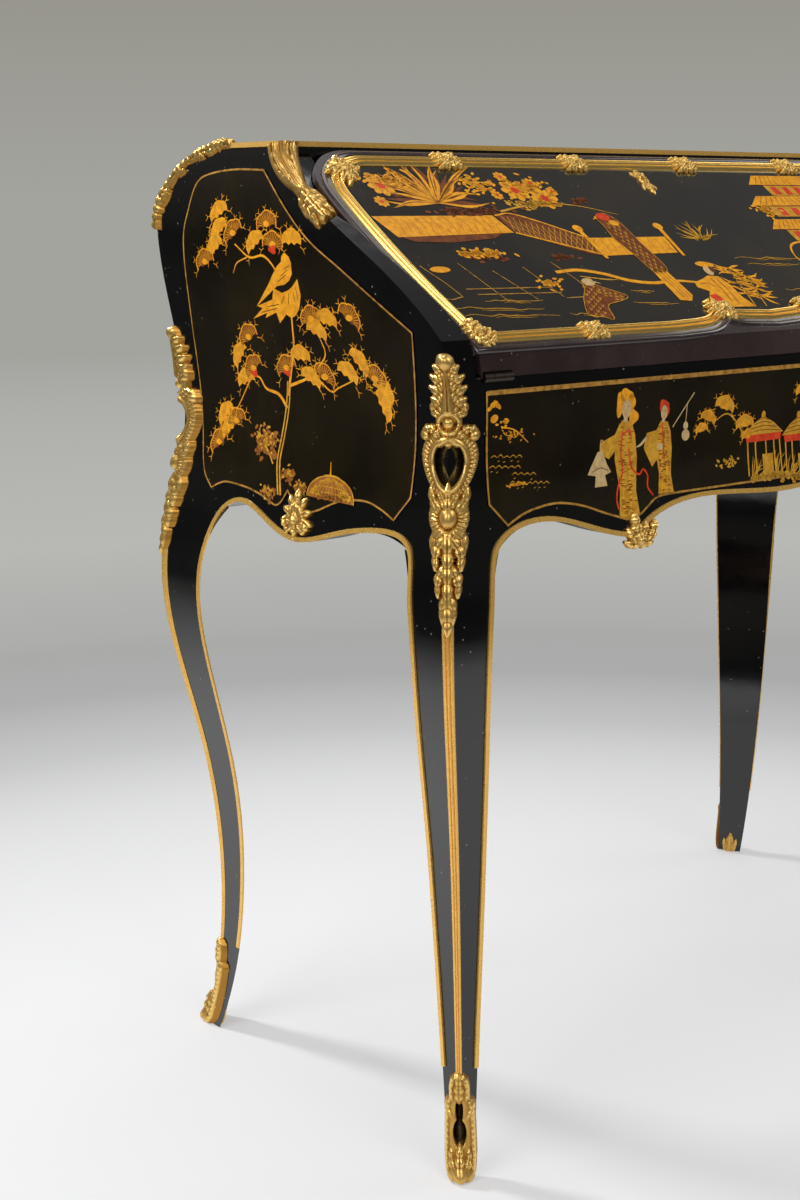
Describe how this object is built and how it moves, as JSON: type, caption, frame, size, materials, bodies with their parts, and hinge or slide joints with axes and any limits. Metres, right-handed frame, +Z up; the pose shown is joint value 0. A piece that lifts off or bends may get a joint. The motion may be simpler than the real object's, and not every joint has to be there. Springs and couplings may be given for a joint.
{
  "type": "slant-front desk",
  "caption": "Small black and gold lacquered slant-front desk on cabriole legs, with a fall lid over a fitted interior and gilt-bronze mounts.",
  "frame": {"origin": "on the floor under the middle of the desk", "axes": "+Z up, the front with the sloping lid faces -Y, +X to the right of someone facing the front"},
  "size_m": [0.9052, 0.4636, 0.925],
  "materials": {
    "black_lacquer": "gloss",
    "brown_lacquer": "gloss",
    "inner_wood": "satin",
    "gilt_bronze": "satin",
    "hardware_brass": "satin",
    "hardware_steel": "satin",
    "writing_leather": "satin"
  },
  "bodies": {
    "desk": {"leg_front_left": "black_lacquer", "leg_front_right": "black_lacquer", "leg_back_left": "black_lacquer", "leg_back_right": "black_lacquer", "side_panel_left": "black_lacquer", "side_panel_right": "black_lacquer", "front_frieze": "black_lacquer", "back_panel": "black_lacquer", "top_board": "black_lacquer", "bottom_board": "inner_wood", "writing_bed": "inner_wood", "top_rail": "inner_wood", "well_box": "inner_wood", "gradin_shelf": "inner_wood", "gradin_partition_left": "inner_wood", "gradin_partition_right": "inner_wood", "pigeonhole_divider_1": "inner_wood", "pigeonhole_divider_2": "inner_wood", "pigeonhole_divider_3": "inner_wood", "pigeonhole_divider_4": "inner_wood", "chute_front_left": "gilt_bronze", "chute_front_right": "gilt_bronze", "chute_back_left": "gilt_bronze", "chute_back_right": "gilt_bronze", "shoulder_mount_front_left": "gilt_bronze", "shoulder_mount_front_right": "gilt_bronze", "shoulder_mount_back_left": "gilt_bronze", "shoulder_mount_back_right": "gilt_bronze", "sabot_front_left": "gilt_bronze", "sabot_front_right": "gilt_bronze", "sabot_back_left": "gilt_bronze", "sabot_back_right": "gilt_bronze", "arris_fillet_front_left": "gilt_bronze", "arris_fillet_front_right": "gilt_bronze", "arris_fillet_back_left": "gilt_bronze", "arris_fillet_back_right": "gilt_bronze", "edge_fillet_front": "gilt_bronze", "edge_fillet_back": "gilt_bronze", "edge_fillet_left": "gilt_bronze", "edge_fillet_right": "gilt_bronze", "top_fillet": "gilt_bronze", "apron_clasps": "gilt_bronze", "hinge_leaves_post": "hardware_brass", "hinge_pins": "hardware_steel"},
    "lid": {"lid_board": "black_lacquer", "lid_lipping": "brown_lacquer", "lid_leather": "writing_leather", "lid_frame": "gilt_bronze", "lid_clasps": "gilt_bronze", "lid_escutcheon": "gilt_bronze", "lid_lock": "hardware_brass", "hinge_leaves_lid": "hardware_brass"},
    "lock_bolt": {"lock_bolt": "hardware_steel"},
    "drawer_left": {"drawer_box_left": "inner_wood", "drawer_front_left": "inner_wood", "drawer_knobs_left": "hardware_brass"},
    "drawer_right": {"drawer_box_right": "inner_wood", "drawer_front_right": "inner_wood", "drawer_knobs_right": "hardware_brass"},
    "well_cover": {"well_cover": "inner_wood"}
  },
  "joints": [
    {"name": "lid_hinge", "type": "hinge", "parent": "desk", "child": "lid", "pos_m": [0, -0.212, 0.718], "axis": [1, 0, 0], "range_deg": [0, 142.5]},
    {"name": "lock_bolt_slide", "type": "slide", "parent": "lid", "child": "lock_bolt", "axis": [0, 0.7945, 0.6073], "range_m": [0, 0.012]},
    {"name": "drawer_left_slide", "type": "slide", "parent": "desk", "child": "drawer_left", "axis": [0, -1, 0], "range_m": [0, 0.095]},
    {"name": "drawer_right_slide", "type": "slide", "parent": "desk", "child": "drawer_right", "axis": [0, -1, 0], "range_m": [0, 0.095]},
    {"name": "well_cover_slide", "type": "slide", "parent": "desk", "child": "well_cover", "axis": [0, 1, 0], "range_m": [0, 0.135]}
  ]
}
